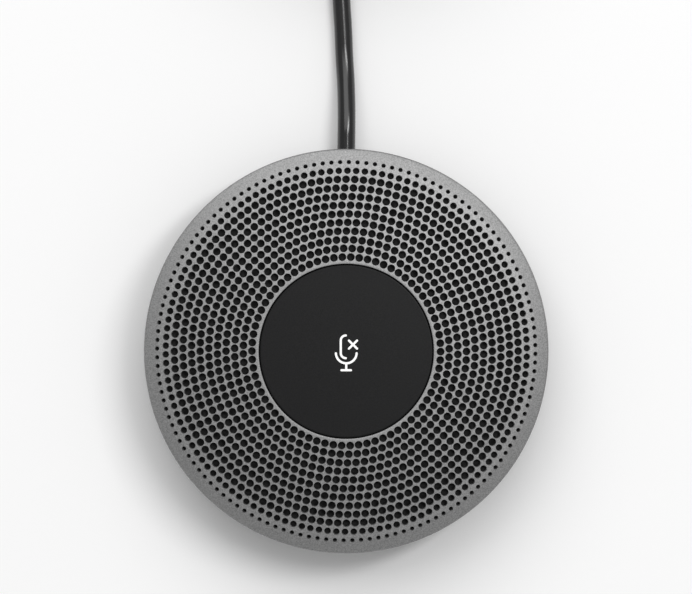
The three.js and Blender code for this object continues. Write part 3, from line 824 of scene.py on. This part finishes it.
def ring_of_copies_tree():
    """Places copies of a shape on a circle."""
    tree = bpy.data.node_groups.new("ring_of_copies", "GeometryNodeTree")
    face = tree.interface
    face.new_socket("Geometry", in_out="INPUT", socket_type="NodeSocketGeometry")
    for name in ("Copies", "Circle Radius", "Start Angle", "Height", "Tip Over"):
        face.new_socket(name, in_out="INPUT", socket_type="NodeSocketFloat")
    face.new_socket("Finish", in_out="INPUT", socket_type="NodeSocketMaterial")
    face.new_socket("Geometry", in_out="OUTPUT", socket_type="NodeSocketGeometry")
    given = add_node(tree, "NodeGroupInput").outputs
    circle = add_node(tree, "GeometryNodeMeshCircle",
                      {"Vertices": given["Copies"], "Radius": given["Circle Radius"]})
    lift = add_node(tree, "ShaderNodeCombineXYZ", {"Z": given["Height"]})
    turn = add_node(tree, "ShaderNodeCombineXYZ", {"Z": given["Start Angle"]})
    placed = add_node(tree, "GeometryNodeTransform",
                      {"Geometry": circle, "Translation": lift, "Rotation": turn})
    tip = add_node(tree, "ShaderNodeCombineXYZ", {"X": given["Tip Over"]})
    copies = add_node(tree, "GeometryNodeInstanceOnPoints",
                      {"Points": placed, "Instance": given["Geometry"], "Rotation": tip})
    real = add_node(tree, "GeometryNodeRealizeInstances", {"Geometry": copies})
    coated = add_node(tree, "GeometryNodeSetMaterial", {"Geometry": real, "Material": given["Finish"]})
    add_node(tree, "NodeGroupOutput", {"Geometry": coated})
    return tree


def make_screws():
    tree = ring_of_copies_tree()
    sets = [
        ("base_screws", screw_shape("base_screw", 2.2, 1.4, 1.1, 9.7), CORNERS, BOSS_CIRCLE, 1.7, 0),
        ("board_screws", screw_shape("board_screw", 1.9, 1.1, 0.9, 6.0), THIRDS, POST_CIRCLE, 11.0, 180),
    ]
    for name, screw, angles, circle, height, tip in sets:
        nodes = [f"{screw.name}_{i + 1}" for i in range(len(angles))]
        give_tree(screw, tree, {
            "Copies": float(len(angles)), "Circle Radius": circle * MM, "Height": height * MM,
            "Start Angle": math.radians(angles[0]), "Tip Over": math.radians(tip),
            "Finish": MATERIALS["zinc"]})
        screws = shade(baked(screw, name), 35)
        fitted(screws, MATERIALS["zinc"], "pod", "zinc_steel", *nodes)


def make_grommet():
    """Rubber bush: a flange outside the housing, a neck through its slot and a block inside it."""
    flange = block("flange", (-3.2, 40.2, 2.7), (3.2, GROMMET_HIGH.y, 6.9), 0.35)
    neck = block("neck", (-2.3, 37.4, 3.1), (2.3, 40.4, 9.5), 0.3)
    inner = block("inner", (-3.3, GROMMET_LOW.y, 4.7), (3.3, 37.6, 9.5), 0.25)
    grommet = combined("grommet", flange, [neck, inner], "UNION")
    collar = rod("collar", (0, 0), LEAD_RADIUS + 0.03, -2, 2, 32)
    exit_place = Matrix.Translation(Vector(LEAD_EXIT) * MM)
    collar.data.transform(exit_place @ Matrix.Rotation(math.pi / 2, 4, "X"))
    grommet = shade(combined("lead_grommet_rubber", grommet, [collar], "DIFFERENCE"), 35)
    return fitted(grommet, MATERIALS["rubber"], "pod", "lead_pvc", "lead_grommet")


# ---- Strap and plug ----

def make_strap():
    """Tape wrapped round the bundle, with its free end lapped over the top."""
    low, high = STRAP_LOW, STRAP_HIGH
    thickness, corner = 0.9, 3.2
    centre_y = (low.y + high.y) / 2
    half_width = (high.y - low.y) / 2

    def loop(inset, rounding):
        left, right, bottom, top = low.x + inset, high.x - inset, low.z + inset, high.z - inset
        return (arc((right - rounding, top - rounding), rounding, 90, 0, 8)
                + arc((right - rounding, bottom + rounding), rounding, 0, -90, 8)
                + arc((left + rounding, bottom + rounding), rounding, 270, 180, 8)
                + arc((left + rounding, top - rounding), rounding, 180, 90, 8))

    outer, inner = loop(0, corner), loop(thickness, corner - thickness)
    bm = bmesh.new()
    rings = []
    for y, points in ((-half_width, inner), (-half_width, outer), (half_width, outer), (half_width, inner)):
        rings.append([bm.verts.new((x * MM, (centre_y + y) * MM, z * MM)) for x, z in points])
    count = len(outer)
    for ring, following in zip(rings, rings[1:] + rings[:1]):
        for i in range(count):
            j = (i + 1) % count
            bm.faces.new((ring[i], ring[j], following[j], following[i]))
    band = object_from("band", bm)
    sunk, raised = 0.1, 0.75
    flap_low = (low.x + 6, low.y + sunk, high.z - sunk)
    flap_high = (high.x - 5, high.y - sunk, high.z + raised)
    strap = combined("hook_and_loop_strap", band, [block("flap", flap_low, flap_high, 0.3)], "UNION")
    return fitted(shade(strap, 35), MATERIALS["tape"], "pod", "strap_fabric", "coil_strap")


def along_plug(made):
    """Lays a piece built along +Z from the lead's end where the plug lies, pointing to -Y."""
    low, high = box_mm("plug_relief")
    start = Vector((low.x / 2 + high.x / 2, high.y, low.z / 2 + high.z / 2)) * MM
    made.data.transform(Matrix.Translation(start) @ Matrix.Rotation(math.pi / 2, 4, "X"))
    return made


def make_plug():
    grip = RELIEF_LENGTH + PLUG_GAP
    sleeve = grip + GRIP_LENGTH + PLUG_GAP
    return [make_relief(RELIEF_LENGTH), make_grip(grip, grip + GRIP_LENGTH),
            make_sleeve(sleeve, sleeve + SLEEVE_LENGTH), make_pin_carrier(sleeve), make_pins(sleeve)]


def make_relief(length):
    """Tapered sleeve with staggered slots that let it bend with the lead."""
    body = turned("relief", [
        (0, 0), (2.45, 0), (2.65, 0.25), (3.85, length - 0.2), (3.6, length), (0, length)], 48)
    first, pitch, width = 2.0, 2.3, 0.8
    spine, past = 1.95, 6.0   # half the width left between two slots, and a reach well past the sleeve
    slots = []
    for i in range(5):
        at = first + i * pitch
        for low, high in ((-past, -spine), (spine, past)):
            across = ((low, -past, at), (high, past, at + width))
            along = ((-past, low, at), (past, high, at + width))
            slots.append(block("slot", *(across if i % 2 else along)))
    relief = shade(along_plug(combined("plug_strain_relief", body, slots, "DIFFERENCE")), 35)
    return fitted(relief, MATERIALS["pvc"], "pod", "lead_pvc", "plug_relief")


def make_grip(start, end):
    """Moulded grip with four shallow finger grooves and a flat on top."""
    radius, neck, rounding = 5.7, 4.1, 1.6
    outline = [(0, start), (neck, start)] + arc((neck, start + rounding), rounding, -90, 0, 6)
    outline[-1] = (radius, start + 1.8)
    first, pitch, depth = start + 5.5, 2.8, 0.35
    for i in range(4):
        middle = first + i * pitch
        outline += [(radius, middle - 0.7), (radius - depth, middle - 0.35), (radius - depth, middle + 0.35),
                    (radius, middle + 0.7)]
    outline += [(radius, end - 0.8), (radius - 0.25, end - 0.25), (radius - 0.8, end), (0, end)]
    flat = block("flat", (-2.2, 5.35, start + 3.2), (2.2, 8, end - 1.6), 0.2)
    grip = combined("plug_grip_moulding", turned("grip", outline, 64), [flat], "DIFFERENCE")
    return fitted(shade(along_plug(grip), 32), MATERIALS["pvc"], "pod", "lead_pvc", "plug_grip")


def make_sleeve(start, end):
    """Metal sleeve with a broken front edge, a keyway and two notches."""
    inner, outer, edge = 4.2, 4.6, 0.1
    outline = [(inner, start), (outer, start), (outer, end - 2 * edge), (outer - edge, end),
               (inner + edge, end), (inner, end - edge)]
    past = end + 1
    keys = [block("key", (-0.9, 3.4, end - 5), (0.9, 6, past)),
            block("key", (-5.2, -0.6, end - 3), (-3.6, 0.6, past)),
            block("key", (3.6, -0.6, end - 3), (5.2, 0.6, past))]
    sleeve = combined("plug_metal_sleeve", turned("sleeve", outline, 64), keys, "DIFFERENCE")
    return fitted(shade(along_plug(sleeve), 32), MATERIALS["nickel"], "pod", "nickel_steel", "plug_shell")


def make_pin_carrier(start):
    """Disc that carries the pins, with a guide post in its middle."""
    radius, bottom, face, edge = 3.85, start + 0.1, start + 3.4, 0.1
    disc = turned("disc", [(0, bottom), (radius, bottom), (radius, face - edge), (3.7, face), (0, face)], 48)
    post = block("post", (-0.8, -0.9, start + 3), (0.8, 0.5, start + 6.6), 0.15)
    carrier = shade(along_plug(combined("plug_pin_carrier", disc, [post], "UNION")), 35)
    return fitted(carrier, MATERIALS["abs"], "pod", "housing_abs", "plug_insert")


def make_pins(start):
    """Eight round pins with narrowed tips, on a circle with a gap for the keyway."""
    bottom, neck, tip = start + 3.2, start + 6.9, start + 7.2
    pins = []
    for angle in (20, 65, 115, 160, 200, 250, 290, 340):
        pin = turned("pin", [(0, bottom), (0.35, bottom), (0.35, neck), (0.2, tip), (0, tip + 0.1)], 12)
        pin.data.transform(Matrix.Translation(Vector((*polar(2.5, angle), 0)) * MM))
        pins.append(pin)
    contacts = shade(along_plug(joined("plug_pins", pins)), 35)
    return fitted(contacts, MATERIALS["gold"], "pod", "gold_contact", "plug_contacts")


# ---- Inner CAD nodes that stay as they are ----

def dress_inner_nodes():
    finishes = {
        "inner_frame": "abs", "ballast_plate": "zinc", "light_guide": "acrylic", "switch_plunger": "epoxy",
        "main_board": "board", "mute_switch": "epoxy", "processor_chip": "epoxy", "codec_chip": "epoxy",
        "power_inductor": "epoxy", "board_header": "nylon", "inner_lead": "pvc",
    }
    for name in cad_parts:
        if name.startswith("microphone_boot"):
            finishes[name] = "rubber"
        elif name.startswith("microphone_lead"):
            finishes[name] = "pvc"
        elif name.startswith("microphone"):
            finishes[name] = "nickel"
        elif name.startswith("led"):
            finishes[name] = "acrylic"
    for name, finish in finishes.items():
        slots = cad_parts[name].data.materials
        slots.clear()
        slots.append(MATERIALS[finish])


make_camera()
make_studio()
lead = make_lead()
make_grille()
make_cloth()
make_button()
make_pictogram()
make_base()
make_foot()
make_screws()
make_grommet()
strap = make_strap()
plug_pieces = make_plug()
dress_inner_nodes()
